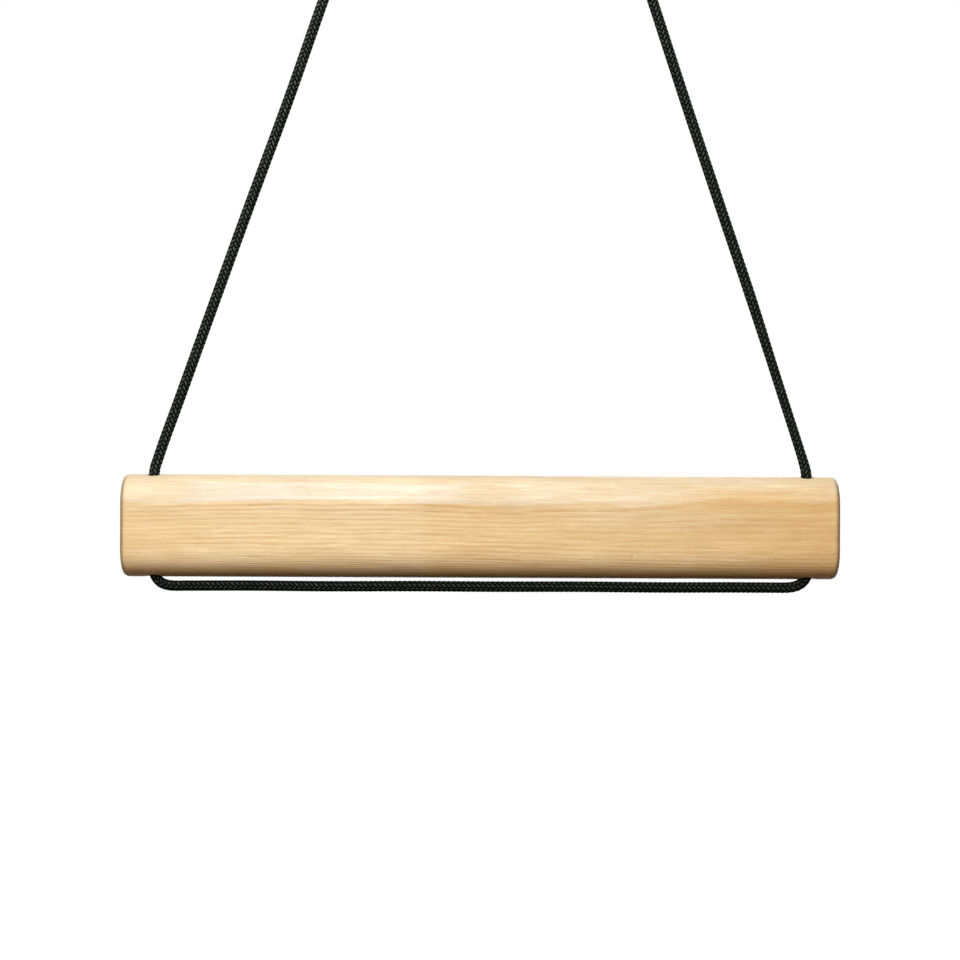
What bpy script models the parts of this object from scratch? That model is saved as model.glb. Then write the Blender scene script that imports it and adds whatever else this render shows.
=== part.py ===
# Portable hangboard: a rounded wooden bar hung on one 6 mm cord.
#
# The bar lies along X. Its plain front faces -Y and its finger rail opens to +Y.
# The cord comes down from a tied loop, goes down through the hole near one end of
# the bar, runs along under the bar, and goes up through the other hole to a second
# tied loop. The bar rolls about the line between the two points where the cord bends
# over the bar. The origin is level with the tops of the two loops, straight above the
# middle of the bar, in the upright plane that the cord hangs in.
# All lengths are in metres.

import math

import bmesh
import bpy
from mathutils import Vector
from mathutils.geometry import interpolate_bezier

MM = 0.001

# Bar
BAR_LENGTH = 430.0 * MM
BAR_HEIGHT = 61.5 * MM
BAR_DEPTH = 36.0 * MM
BAR_EDGE_RADIUS = 17.5 * MM
BAR_END_ROUNDING = 3.5 * MM

# Finger rail, cut into the back of the bar
RAIL_LENGTH = 340.0 * MM
RAIL_HEIGHT = 22.0 * MM
RAIL_DEPTH = 20.0 * MM
RAIL_CORNER_RADIUS = 6.0 * MM
RAIL_LIP_ROUNDING = 4.0 * MM
RAIL_FLOOR_FILLET = 3.0 * MM

# Cord and the holes it passes through
CORD_DIAMETER = 6.0 * MM
HOLE_CLEARANCE = 1.0 * MM
HOLE_TOP_FLARE = 0.8 * MM
HOLE_UNDER_FLARE = 2.0 * MM
HOLE_TO_END = 18.0 * MM

# Tied loops
CREST_TO_LOOP_TOPS = 390.0 * MM
LOOP_LENGTH = 45.0 * MM
LOOP_HALF_WIDTH = 11.0 * MM
KNOT_TURNS = 3
TAIL_LENGTH = 24.0 * MM

# Room between pieces that touch, and between strands that lie side by side
PIECE_GAP = 0.3 * MM
STRAND_GAP = 0.4 * MM

# Fineness of the solids
EDGE_SEGMENTS = 10
END_SEGMENTS = 4
CORNER_SEGMENTS = 5
FILLET_SEGMENTS = 4
HOLE_SEGMENTS = 24
CORD_SIDES_RESOLUTION = 4
CORD_POINT_SPACING = 3.0 * CORD_DIAMETER
CORD_POINT_TURN = math.radians(13.0)
KNOT_SEGMENTS = 24
KNOT_BULGE_SEGMENTS = 6

# How far cutters reach past the surface they cut
CUTTER_REACH = 8.0 * MM
CUTTER_LEAD = 0.1 * MM

# The cord's own points, in millimetres. Each pair is the distance inwards from the
# axis of the hole, towards the middle of the bar, and the height above a level.
# Legs: height above the crest of the bar.
LEFT_LEG_ROUTE = [
    (2.1, 8.3),
    (6.2, 20.5),
    (14.9, 44.6),
    (36.4, 105.1),
    (58.0, 165.5),
    (80.0, 225.9),
    (100.9, 286.4),
]
RIGHT_LEG_ROUTE = [
    (2.4, 10.1),
    (6.2, 22.1),
    (14.1, 46.3),
    (33.7, 106.5),
    (54.2, 166.8),
    (74.5, 227.0),
    (94.4, 287.3),
]
LEG_START_INWARDS = 0.6
LEFT_LOOP_TOP_INWARDS = 137.2
RIGHT_LOOP_TOP_INWARDS = 128.2

# Bends under the bar: height above its underside.
LEFT_BEND_ROUTE = [
    (0.2, 20.0),
    (0.0, 11.0),
    (0.2, 4.6),
    (1.6, -0.3),
    (5.1, -3.9),
    (10.5, -5.4),
    (20.0, -5.5),
]
RIGHT_BEND_ROUTE = [
    (-0.2, 20.0),
    (-0.7, 11.0),
    (-0.7, 5.2),
    (0.6, 0.4),
    (4.2, -3.2),
    (9.6, -4.9),
    (20.0, -5.1),
]

# Under the bar: share of the way from the left hole to the right one, and height.
UNDER_BAR_ROUTE = [
    (0.14, -5.3),
    (0.27, -5.5),
    (0.40, -5.2),
    (0.52, -5.3),
    (0.65, -5.1),
    (0.78, -5.3),
    (0.88, -5.1),
]

# Sizes that follow from the ones above
CORD_RADIUS = CORD_DIAMETER / 2
HOLE_RADIUS = CORD_RADIUS + HOLE_CLEARANCE
HOLE_X = BAR_LENGTH / 2 - HOLE_TO_END
EDGE_RADIUS = min(BAR_EDGE_RADIUS, BAR_DEPTH / 2 - PIECE_GAP, BAR_HEIGHT / 2 - PIECE_GAP)
CREST_Z = -CREST_TO_LOOP_TOPS
UNDERSIDE_Z = CREST_Z - BAR_HEIGHT
BAR_Z = CREST_Z - BAR_HEIGHT / 2
PIVOT_Z = CREST_Z + CORD_RADIUS + PIECE_GAP
STRAND_PITCH = CORD_DIAMETER + STRAND_GAP
KNOT_LENGTH = KNOT_TURNS * CORD_DIAMETER
KNOT_HALF_DEPTH = CORD_DIAMETER + CORD_RADIUS
KNOT_HALF_WIDTH = KNOT_HALF_DEPTH + STRAND_PITCH / 2

WOOD_COLOUR = (0.80, 0.60, 0.36)
CORD_COLOUR = (0.012, 0.014, 0.012)


def balanced_depth_offset():
    # The rail takes wood from the back, so the bar's middle plane lies this far
    # behind the holes: the bar's weight then hangs straight below the cord.
    corner_waste = (4.0 - math.pi) * EDGE_RADIUS ** 2
    full_volume = (BAR_HEIGHT * BAR_DEPTH - corner_waste) * BAR_LENGTH
    rail_volume = RAIL_LENGTH * RAIL_HEIGHT * RAIL_DEPTH
    rail_centre = (BAR_DEPTH - RAIL_DEPTH) / 2
    return rail_volume * rail_centre / (full_volume - rail_volume)


BAR_Y = balanced_depth_offset()


def clear_objects():
    for old in list(bpy.data.objects):
        bpy.data.objects.remove(old, do_unlink=True)


def make_collection(name):
    collection = bpy.data.collections.new(name)
    bpy.context.scene.collection.children.link(collection)
    return collection


def make_material(name, colour, roughness):
    material = bpy.data.materials.new(name)
    material.use_nodes = True
    shader = material.node_tree.nodes["Principled BSDF"]
    shader.inputs["Base Color"].default_value = (*colour, 1.0)
    shader.inputs["Roughness"].default_value = roughness
    shader.inputs["Metallic"].default_value = 0.0
    return material


def add_piece(name, data, collection, material, parent=None):
    piece = bpy.data.objects.new(name, data)
    piece.data.materials.append(material)
    piece.parent = parent
    collection.objects.link(piece)
    return piece


def add_cutter(name, data, collection, location, parent):
    cutter = bpy.data.objects.new(name, data)
    cutter.parent = parent
    cutter.location = location
    cutter.hide_render = True
    cutter.display_type = "WIRE"
    collection.objects.link(cutter)
    return cutter


def cut(piece, cutter):
    modifier = piece.modifiers.new(cutter.name, "BOOLEAN")
    modifier.operation = "DIFFERENCE"
    modifier.solver = "EXACT"
    modifier.object = cutter


def add_screw(piece, segments):
    screw = piece.modifiers.new("turned", "SCREW")
    screw.axis = "Z"
    screw.steps = segments
    screw.render_steps = segments
    screw.use_merge_vertices = True
    screw.merge_threshold = 0.00001
    screw.use_smooth_shade = True


def profile_mesh(name, points):
    # An open outline in the XZ plane, given from its top down
    bm = bmesh.new()
    corners = [bm.verts.new((x, 0.0, z)) for x, z in points]
    for upper, lower in zip(corners, corners[1:]):
        bm.edges.new((upper, lower))
    mesh = bpy.data.meshes.new(name)
    bm.to_mesh(mesh)
    bm.free()
    return mesh


def edges_along(bm, axis):
    # The box edges that run along one axis
    return [
        edge
        for edge in bm.edges
        if abs((edge.verts[1].co - edge.verts[0].co).normalized()[axis]) > 0.99
    ]


def bar_mesh():
    bm = bmesh.new()
    bmesh.ops.create_cube(bm, size=1.0)
    bmesh.ops.scale(bm, vec=(BAR_LENGTH, BAR_DEPTH, BAR_HEIGHT), verts=bm.verts)
    bmesh.ops.bevel(
        bm, geom=edges_along(bm, 0), offset=EDGE_RADIUS, segments=EDGE_SEGMENTS,
        profile=0.5, affect="EDGES",
    )
    end_edges = [edge for edge in bm.edges if any(len(face.verts) > 4 for face in edge.link_faces)]
    bmesh.ops.bevel(
        bm, geom=end_edges, offset=BAR_END_ROUNDING, segments=END_SEGMENTS,
        profile=0.5, affect="EDGES",
    )
    mesh = bpy.data.meshes.new("bar")
    bm.to_mesh(mesh)
    bm.free()
    mesh.shade_smooth()
    mesh.set_sharp_from_angle(angle=math.radians(35.0))
    return mesh


def inset_step(bm, face, narrower, deeper):
    bmesh.ops.inset_region(
        bm, faces=[face], thickness=narrower, depth=deeper, use_even_offset=True,
    )


def rail_cutter_mesh():
    # Its mouth is at y = 0 and it cuts towards -Y. It starts as a rounded block outside
    # the back face, and its inner end is stepped in round the lip, then straight down,
    # then in again round the fillet at the floor.
    bm = bmesh.new()
    bmesh.ops.create_cube(bm, size=1.0)
    mouth_length = RAIL_LENGTH + 2 * RAIL_LIP_ROUNDING
    mouth_height = RAIL_HEIGHT + 2 * RAIL_LIP_ROUNDING
    bmesh.ops.scale(bm, vec=(mouth_length, CUTTER_REACH, mouth_height), verts=bm.verts)
    bmesh.ops.translate(bm, vec=(0.0, CUTTER_REACH / 2 + CUTTER_LEAD, 0.0), verts=bm.verts)
    bmesh.ops.bevel(
        bm, geom=edges_along(bm, 1), offset=RAIL_CORNER_RADIUS + RAIL_LIP_ROUNDING,
        segments=CORNER_SEGMENTS, profile=0.5, affect="EDGES",
    )
    bm.normal_update()
    floor = min(bm.faces, key=lambda face: face.calc_center_median().y)
    quarter = math.pi / 2
    for step in range(FILLET_SEGMENTS):
        start = quarter * step / FILLET_SEGMENTS
        end = quarter * (step + 1) / FILLET_SEGMENTS
        narrower = RAIL_LIP_ROUNDING * (math.sin(end) - math.sin(start))
        deeper = RAIL_LIP_ROUNDING * (math.cos(start) - math.cos(end))
        inset_step(bm, floor, narrower, deeper)
    straight = RAIL_DEPTH + CUTTER_LEAD - RAIL_LIP_ROUNDING - RAIL_FLOOR_FILLET
    walls = bmesh.ops.extrude_discrete_faces(bm, faces=[floor])
    floor = walls["faces"][0]
    bmesh.ops.translate(bm, vec=(0.0, -straight, 0.0), verts=floor.verts)
    for step in range(FILLET_SEGMENTS):
        start = quarter * step / FILLET_SEGMENTS
        end = quarter * (step + 1) / FILLET_SEGMENTS
        narrower = RAIL_FLOOR_FILLET * (math.cos(start) - math.cos(end))
        deeper = RAIL_FLOOR_FILLET * (math.sin(end) - math.sin(start))
        inset_step(bm, floor, narrower, deeper)
    mesh = bpy.data.meshes.new("rail_cutter")
    bm.to_mesh(mesh)
    bm.free()
    return mesh


def hole_cutter_mesh():
    # A straight hole with a countersink at each mouth. The lower one is the wider,
    # because the cord turns through a right angle there.
    half = BAR_HEIGHT / 2
    top_mouth = HOLE_RADIUS + HOLE_TOP_FLARE + CUTTER_REACH
    under_mouth = HOLE_RADIUS + HOLE_UNDER_FLARE + CUTTER_REACH
    return profile_mesh(
        "hole_cutter",
        [
            (0.0, half + CUTTER_REACH),
            (top_mouth, half + CUTTER_REACH),
            (HOLE_RADIUS, half - HOLE_TOP_FLARE),
            (HOLE_RADIUS, HOLE_UNDER_FLARE - half),
            (under_mouth, -half - CUTTER_REACH),
            (0.0, -half - CUTTER_REACH),
        ],
    )


def add_bar(parts, cutters, pivot, wood):
    centre = Vector((0.0, BAR_Y, BAR_Z - PIVOT_Z))
    bar = add_piece("bar", bar_mesh(), parts, wood, pivot)
    bar.location = centre
    mouth_centre = centre + Vector((0.0, BAR_DEPTH / 2, 0.0))
    cut(bar, add_cutter("rail_cutter", rail_cutter_mesh(), cutters, mouth_centre, pivot))
    hole_mesh = hole_cutter_mesh()
    for name, x in (("left_hole_cutter", -HOLE_X), ("right_hole_cutter", HOLE_X)):
        cutter = add_cutter(name, hole_mesh, cutters, (x, 0.0, centre.z), pivot)
        add_screw(cutter, HOLE_SEGMENTS)
        cut(bar, cutter)


def smooth_curve(points):
    # A smooth curve through the points, as closely spaced points of its own
    tangents = []
    for index in range(len(points)):
        before = points[max(index - 1, 0)]
        after = points[min(index + 1, len(points) - 1)]
        tangents.append((after - before).normalized())
    dense = [points[0]]
    for index in range(len(points) - 1):
        start = points[index]
        end = points[index + 1]
        reach = (end - start).length / 3
        handle_out = start + tangents[index] * reach
        handle_in = end - tangents[index + 1] * reach
        dense += interpolate_bezier(start, handle_out, handle_in, end, 25)[1:]
    return dense


def cord_points(route):
    # Points read from the smooth curve: far apart where it is straight, closer where it turns
    dense = smooth_curve(route)
    kept = [dense[0]]
    kept_direction = (dense[1] - dense[0]).normalized()
    for here, ahead in zip(dense[1:-1], dense[2:]):
        travelled = (here - kept[-1]).length
        direction = (ahead - here).normalized()
        if travelled > CORD_POINT_SPACING or direction.angle(kept_direction) > CORD_POINT_TURN:
            kept.append(here)
            kept_direction = direction
    if (dense[-1] - kept[-1]).length < CORD_RADIUS:
        kept.pop()
    kept.append(dense[-1])
    return kept


def rounded_end(points):
    # Extra points that close the first end of a cord in a half ball around points[0]
    steps = 4
    outwards = (points[0] - points[1]).normalized()
    tip = []
    radii = []
    for step in range(1, steps):
        angle = math.pi / 2 * step / steps
        tip.append(points[0] + outwards * CORD_RADIUS * math.cos(angle))
        radii.append(math.sin(angle))
    return tip + points, radii + [1.0] * len(points)


def add_cord(name, points, collection, material, radii=None, parent=None):
    curve = bpy.data.curves.new(name, "CURVE")
    curve.dimensions = "3D"
    curve.bevel_depth = CORD_RADIUS
    curve.bevel_resolution = CORD_SIDES_RESOLUTION
    curve.use_fill_caps = True
    spline = curve.splines.new("POLY")
    spline.points.add(len(points) - 1)
    spline.use_smooth = True
    for index, (point, place) in enumerate(zip(spline.points, points)):
        point.co = (*place, 1.0)
        point.radius = radii[index] if radii else 1.0
    return add_piece(name, curve, collection, material, parent)


def side_points(route, side, level):
    # A route beside one hole, from millimetres inwards and up to places in the frame
    return [
        Vector((side * (HOLE_X - inwards * MM), 0.0, level + height * MM))
        for inwards, height in route
    ]


def add_cord_under_bar(parts, pivot, cord):
    left = side_points(LEFT_BEND_ROUTE, -1, UNDERSIDE_Z)
    right = side_points(RIGHT_BEND_ROUTE, 1, UNDERSIDE_Z)
    under = [
        Vector(((2 * share - 1) * HOLE_X, 0.0, UNDERSIDE_Z + height * MM))
        for share, height in UNDER_BAR_ROUTE
    ]
    left_top = [Vector((-HOLE_X, 0.0, CREST_Z)), Vector((-HOLE_X, 0.0, BAR_Z))]
    right_top = [Vector((HOLE_X, 0.0, BAR_Z)), Vector((HOLE_X, 0.0, CREST_Z))]
    route = left_top + left + under + right[::-1] + right_top
    to_pivot = Vector((0.0, 0.0, -PIVOT_Z))
    points = [point + to_pivot for point in cord_points(route)]
    add_cord("cord_under_bar", points, parts, cord, parent=pivot)


class LoopEnd:
    # Where one leg's knot and loop lie: along is up the leg, outwards is square to it,
    # away from the middle of the bar, in the upright plane that the cord hangs in.
    def __init__(self, side, leg_route, loop_top_inwards):
        self.side = side
        last = side_points(leg_route, side, CREST_Z)[-1]
        top = Vector((side * (HOLE_X - loop_top_inwards * MM), 0.0, 0.0))
        self.along = (top - last).normalized()
        self.outwards = Vector((side * self.along.z, 0.0, -side * self.along.x))
        self.knot_top = top - self.along * LOOP_LENGTH
        self.knot_bottom = self.knot_top - self.along * KNOT_LENGTH

    def place(self, start, outwards, up):
        return start + self.outwards * outwards + self.along * up


def add_leg(name, end, leg_route, parts, cord):
    start = (LEG_START_INWARDS, (PIVOT_Z - CREST_Z) / MM)
    route = side_points([start] + leg_route, end.side, CREST_Z)
    route.append(end.knot_bottom - end.along * PIECE_GAP)
    points, radii = rounded_end(cord_points(route))
    add_cord(name, points, parts, cord, radii)


def add_knot(name, end, parts, cord):
    # Its outline has one bulge for each turn of the cord round the leg and its own tail
    outline = [(0.0, KNOT_LENGTH), (CORD_DIAMETER, KNOT_LENGTH)]
    for turn in reversed(range(KNOT_TURNS)):
        middle = (turn + 0.5) * CORD_DIAMETER
        for step in range(1, KNOT_BULGE_SEGMENTS + 1):
            angle = math.pi / 2 - math.pi * step / KNOT_BULGE_SEGMENTS
            out = CORD_DIAMETER + CORD_RADIUS * math.cos(angle)
            outline.append((out, middle + CORD_RADIUS * math.sin(angle)))
    outline.append((0.0, 0.0))
    knot = add_piece(name, profile_mesh(name, outline), parts, cord)
    add_screw(knot, KNOT_SEGMENTS)
    knot.scale = (KNOT_HALF_WIDTH / KNOT_HALF_DEPTH, 1.0, 1.0)
    knot.location = end.place(end.knot_bottom, STRAND_PITCH / 2, 0.0)
    knot.rotation_euler = (0.0, math.atan2(end.along.x, end.along.z), 0.0)


def add_loop(name, end, parts, cord):
    crown = LOOP_LENGTH + CORD_RADIUS
    wide = LOOP_HALF_WIDTH
    route = [
        (0.0, PIECE_GAP),
        (0.0, CORD_RADIUS),
        (-0.25 * wide, 0.22 * crown),
        (-0.65 * wide, 0.45 * crown),
        (-0.98 * wide, 0.72 * crown),
        (-0.75 * wide, 0.92 * crown),
        (0.0, crown),
        (0.75 * wide, 0.92 * crown),
        (0.98 * wide, 0.72 * crown),
        (0.84 * wide, 0.45 * crown),
        (STRAND_PITCH, CORD_RADIUS),
        (STRAND_PITCH, PIECE_GAP),
    ]
    places = [end.place(end.knot_top, outwards, up) for outwards, up in route]
    add_cord(name, cord_points(places), parts, cord)


def add_tail(name, end, parts, cord):
    route = [
        (STRAND_PITCH + 0.16 * TAIL_LENGTH, CORD_RADIUS - TAIL_LENGTH),
        (STRAND_PITCH + 0.04 * TAIL_LENGTH, -0.45 * TAIL_LENGTH),
        (STRAND_PITCH, -CORD_RADIUS),
        (STRAND_PITCH, -PIECE_GAP),
    ]
    places = [end.place(end.knot_bottom, outwards, up) for outwards, up in route]
    points, radii = rounded_end(cord_points(places))
    add_cord(name, points, parts, cord, radii)


def build_hangboard():
    clear_objects()
    parts = make_collection("hangboard")
    cutters = make_collection("cutters")
    wood = make_material("ash_wood", WOOD_COLOUR, 0.45)
    cord = make_material("black_cord", CORD_COLOUR, 0.8)
    pivot = bpy.data.objects.new("bar_pivot", None)
    pivot.location = (0.0, 0.0, PIVOT_Z)
    parts.objects.link(pivot)
    add_bar(parts, cutters, pivot, wood)
    add_cord_under_bar(parts, pivot, cord)
    sides = (
        ("left", -1, LEFT_LEG_ROUTE, LEFT_LOOP_TOP_INWARDS),
        ("right", 1, RIGHT_LEG_ROUTE, RIGHT_LOOP_TOP_INWARDS),
    )
    for label, side, leg_route, loop_top_inwards in sides:
        end = LoopEnd(side, leg_route, loop_top_inwards)
        add_leg(label + "_leg", end, leg_route, parts, cord)
        add_knot(label + "_knot", end, parts, cord)
        add_loop(label + "_loop", end, parts, cord)
        add_tail(label + "_tail", end, parts, cord)
    bpy.context.view_layer.update()


build_hangboard()
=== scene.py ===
import math

import bmesh
import bpy
import numpy as np
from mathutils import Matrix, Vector
from mathutils.geometry import interpolate_bezier


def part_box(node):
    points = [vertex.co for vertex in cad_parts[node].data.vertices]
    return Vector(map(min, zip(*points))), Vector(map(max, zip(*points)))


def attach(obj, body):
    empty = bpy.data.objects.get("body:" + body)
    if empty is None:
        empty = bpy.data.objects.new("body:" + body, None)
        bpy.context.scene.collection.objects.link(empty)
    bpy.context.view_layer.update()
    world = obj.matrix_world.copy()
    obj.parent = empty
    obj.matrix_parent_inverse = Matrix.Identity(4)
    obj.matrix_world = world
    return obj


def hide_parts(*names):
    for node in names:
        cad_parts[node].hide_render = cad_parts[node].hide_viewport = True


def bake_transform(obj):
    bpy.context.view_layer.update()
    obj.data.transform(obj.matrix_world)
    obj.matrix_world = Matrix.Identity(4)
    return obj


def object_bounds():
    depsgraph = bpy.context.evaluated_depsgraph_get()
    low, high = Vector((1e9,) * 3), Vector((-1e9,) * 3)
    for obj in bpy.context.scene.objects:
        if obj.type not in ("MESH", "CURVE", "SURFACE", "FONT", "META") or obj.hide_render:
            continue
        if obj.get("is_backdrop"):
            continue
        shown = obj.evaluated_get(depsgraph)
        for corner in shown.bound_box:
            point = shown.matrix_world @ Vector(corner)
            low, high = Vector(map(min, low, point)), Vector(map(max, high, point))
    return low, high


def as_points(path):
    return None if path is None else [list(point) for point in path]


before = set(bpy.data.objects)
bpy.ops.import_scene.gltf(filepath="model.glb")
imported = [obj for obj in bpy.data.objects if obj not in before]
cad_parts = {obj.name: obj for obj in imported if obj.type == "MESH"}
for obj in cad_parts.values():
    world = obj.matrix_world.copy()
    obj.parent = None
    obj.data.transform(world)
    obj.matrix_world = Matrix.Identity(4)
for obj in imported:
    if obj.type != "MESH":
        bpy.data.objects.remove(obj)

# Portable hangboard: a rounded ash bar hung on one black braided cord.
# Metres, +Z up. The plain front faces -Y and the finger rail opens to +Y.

mm = 0.001
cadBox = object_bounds()
barLow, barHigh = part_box("bar")
barMiddle = (barLow + barHigh) / 2
crestZ = barHigh.z
undersideZ = barLow.z


def addPiece(name, data):
    piece = bpy.data.objects.new(name, data)
    bpy.context.scene.collection.objects.link(piece)
    return piece


def meshFrom(bm, name):
    mesh = bpy.data.meshes.new(name)
    bm.to_mesh(mesh)
    bm.free()
    return mesh


camera = {
    "distance": 1.2,  # from the plane of the cord to the lens
    "sideways": -0.00020,
    "height": -0.39248,
    "lens": 74.57,
    "sensor": 36.0,
    "rollDegrees": -0.26,
    "clip": (0.05, 60.0),
}


def makeCamera():
    data = bpy.data.cameras.new("photoCamera")
    data.lens = camera["lens"]
    data.sensor_width = camera["sensor"]
    data.clip_start, data.clip_end = camera["clip"]
    piece = addPiece("photoCamera", data)
    piece.location = (camera["sideways"], -camera["distance"], camera["height"])
    piece.rotation_euler = (math.radians(90.0), math.radians(camera["rollDegrees"]), 0.0)
    bpy.context.scene.camera = piece


makeCamera()
print("camera placed")


# The cord's route, as the solids have it. Each pair is the distance inwards from the
# axis of the hole and the height above a level: the crest for the legs, the underside
# for the bends. Under the bar it is the share of the way from hole to hole.
cordRoute = {
    "holeToEnd": 18.0 * mm,
    "legStart": [(0.0, -0.0090), (0.0001, -0.0040), (0.0006, 0.0033)],
    "leftLeg": [
        (0.0021, 0.0083), (0.0062, 0.0205), (0.0149, 0.0446), (0.0364, 0.1051),
        (0.0580, 0.1655), (0.0800, 0.2259), (0.1009, 0.2864),
    ],
    "rightLeg": [
        (0.0024, 0.0101), (0.0062, 0.0221), (0.0141, 0.0463), (0.0337, 0.1065),
        (0.0542, 0.1668), (0.0745, 0.2270), (0.0944, 0.2873),
    ],
    "leftLoopTop": 0.1372,
    "rightLoopTop": 0.1282,
    "leftBend": [
        (0.0002, 0.0200), (0.0, 0.0110), (0.0002, 0.0046), (0.0016, -0.0003),
        (0.0051, -0.0039), (0.0105, -0.0054), (0.0200, -0.0055),
    ],
    "rightBend": [
        (-0.0002, 0.0200), (-0.0007, 0.0110), (-0.0007, 0.0052), (0.0006, 0.0004),
        (0.0042, -0.0032), (0.0096, -0.0049), (0.0200, -0.0051),
    ],
    "underBar": [
        (0.14, -0.0053), (0.27, -0.0055), (0.40, -0.0052), (0.52, -0.0053),
        (0.65, -0.0051), (0.78, -0.0053), (0.88, -0.0051),
    ],
    "topInHole": -0.0090,  # where the cord under the bar meets the legs, inside the holes
    "loopLength": 45.0 * mm,
    "loopHalfWidth": 11.0 * mm,
    "knotLength": 18.0 * mm,
    "tailLength": 24.0 * mm,
    "strandPitch": 6.4 * mm,
    "gap": 0.3 * mm,  # between solids that meet
    "legInKnot": 10.0 * mm,  # how far the leg runs on inside its knot
    "endInKnot": 8.0 * mm,  # and the loop's ends and the tail
    "bendAbove": 10.0 * mm,  # from this far above the pivot
    "bendBelow": 4.0 * mm,  # to this far below it the legs bend when the bar rolls
    "curveSteps": 25,
    "pathStep": 8,
}

# The braid: eight strands each way, each over two and under two
braid = {
    "diameter": 6.0 * mm,
    "strands": 8,
    "stroke": 2.96 * mm,  # along the cord from one strand to the next
    "crown": 0.23 * mm,  # how round a strand is
    "lift": 0.24 * mm,  # and how far it rises over the others
    "edgeDrop": 0.95,  # how far a strand falls off to its edges
    "overAt": (1.0, 3.0),  # strokes out of four where each way's strands are highest
    "proud": 0.30 * mm,  # what the strands' crowns stand over the nominal diameter
    "sides": 48,
    "spacing": 0.4 * mm,
    "rowShift": 3.5,  # half strands from the seam to a row of strokes
    "leftRow": -30.0,  # degrees round the cord from the front to a row of strokes
    "rightRow": -1.0,
    "underRow": -36.0,
    "underTwist": 100.0,  # degrees that the row turns in a metre
    "leftThickness": [(0.0, 1.0)],
    "rightThickness": [  # along the leg, and its share of the full thickness
        (0.0, 1.0), (0.010, 1.0), (0.024, 0.895), (0.045, 0.885), (0.083, 0.90), (0.122, 1.0),
    ],
    "weld": 0.001 * mm,
}

# The tails' sealed ends
tip = {
    "melted": 3.2 * mm,  # the length of it
    "meltFade": 2.0 * mm,
    "skin": 0.75,  # its height, from the braid's floor to its crowns
    "dome": 2.2 * mm,
    "domePower": 2.6,
    "domeEnd": 0.995,  # the rest is closed flat
}

cordRadius = braid["diameter"] / 2
holeX = barHigh.x - cordRoute["holeToEnd"]


def smoothCurve(points):
    tangents = []
    for index in range(len(points)):
        before = points[max(index - 1, 0)]
        after = points[min(index + 1, len(points) - 1)]
        tangents.append((after - before).normalized())
    dense = [points[0]]
    for index in range(len(points) - 1):
        start, end = points[index], points[index + 1]
        reach = (end - start).length / 3
        handleOut = start + tangents[index] * reach
        handleIn = end - tangents[index + 1] * reach
        dense += interpolate_bezier(start, handleOut, handleIn, end, cordRoute["curveSteps"])[1:]
    return dense


def evenLine(points, spacing):
    # The same line as points an even distance apart, and how far along it each one is
    line = np.array([tuple(point) for point in points])
    steps = np.linalg.norm(np.diff(line, axis=0), axis=1)
    travelled = np.concatenate(([0.0], np.cumsum(steps)))
    count = max(2, round(travelled[-1] / spacing)) + 1
    wanted = np.linspace(0.0, travelled[-1], count)
    return np.stack([np.interp(wanted, travelled, line[:, axis]) for axis in range(3)], axis=1), wanted


def framesAlong(line, facing):
    # A normal and a side for each point, carried along the line without twist
    tangents = np.gradient(line, axis=0)
    tangents /= np.linalg.norm(tangents, axis=1)[:, None]
    normals = np.zeros_like(line)
    normal = np.array(facing, float)
    for index, tangent in enumerate(tangents):
        normal = normal - normal.dot(tangent) * tangent
        normal /= np.linalg.norm(normal)
        normals[index] = normal
    return normals, np.cross(tangents, normals)


def braidHeight(turns, strokes):
    # Height of the upper strand over the braid's floor, from the turns round the cord
    # and the strokes along it
    one = braid["strands"] * turns + strokes
    other = braid["strands"] * turns - strokes
    oneId, otherId = np.floor(one), np.floor(other)

    def strand(across, along, over):
        roundness = np.sqrt(np.clip(1.0 - braid["edgeDrop"] * (2.0 * across - 1.0) ** 2, 0.0, 1.0))
        return braid["crown"] * roundness + braid["lift"] * np.cos(math.pi / 2 * (along - over))

    oneOver, otherOver = braid["overAt"]
    return np.maximum(
        strand(one - oneId, other + oneId, oneOver),
        strand(other - otherId, one + otherId, otherOver),
    )


def sealedTip(travelled):
    # How far each point is melted, and what the domed end leaves of its radius
    fromTip = travelled[-1] - travelled
    melted = np.clip((tip["melted"] - fromTip) / tip["meltFade"], 0.0, 1.0)
    inside = np.clip((tip["dome"] - fromTip) / tip["dome"], 0.0, tip["domeEnd"])
    return melted, np.sqrt(1.0 - inside ** tip["domePower"])


def writeBraid(mesh, turns, strokes, melted):
    # For the cord's material: the same turns and strokes, and how melted it is
    corner = np.zeros(len(mesh.loops), np.int32)
    mesh.loops.foreach_get("vertex_index", corner)
    uv = np.stack([turns.reshape(-1)[corner], strokes.reshape(-1)[corner]], axis=1)
    mesh.uv_layers.new(name="braid").data.foreach_set("uv", uv.reshape(-1).astype(np.float32))
    melt = mesh.attributes.new("melted", "FLOAT", "POINT")
    melt.data.foreach_set("value", np.repeat(melted, turns.shape[1]).astype(np.float32))


def closeTube(mesh):
    bm = bmesh.new()
    bm.from_mesh(mesh)
    bmesh.ops.remove_doubles(bm, verts=bm.verts, dist=braid["weld"])
    rims = [edge for edge in bm.edges if edge.is_boundary]
    bmesh.ops.holes_fill(bm, edges=rims, sides=0)
    bmesh.ops.recalc_face_normals(bm, faces=bm.faces)
    bm.to_mesh(mesh)
    bm.free()


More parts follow.
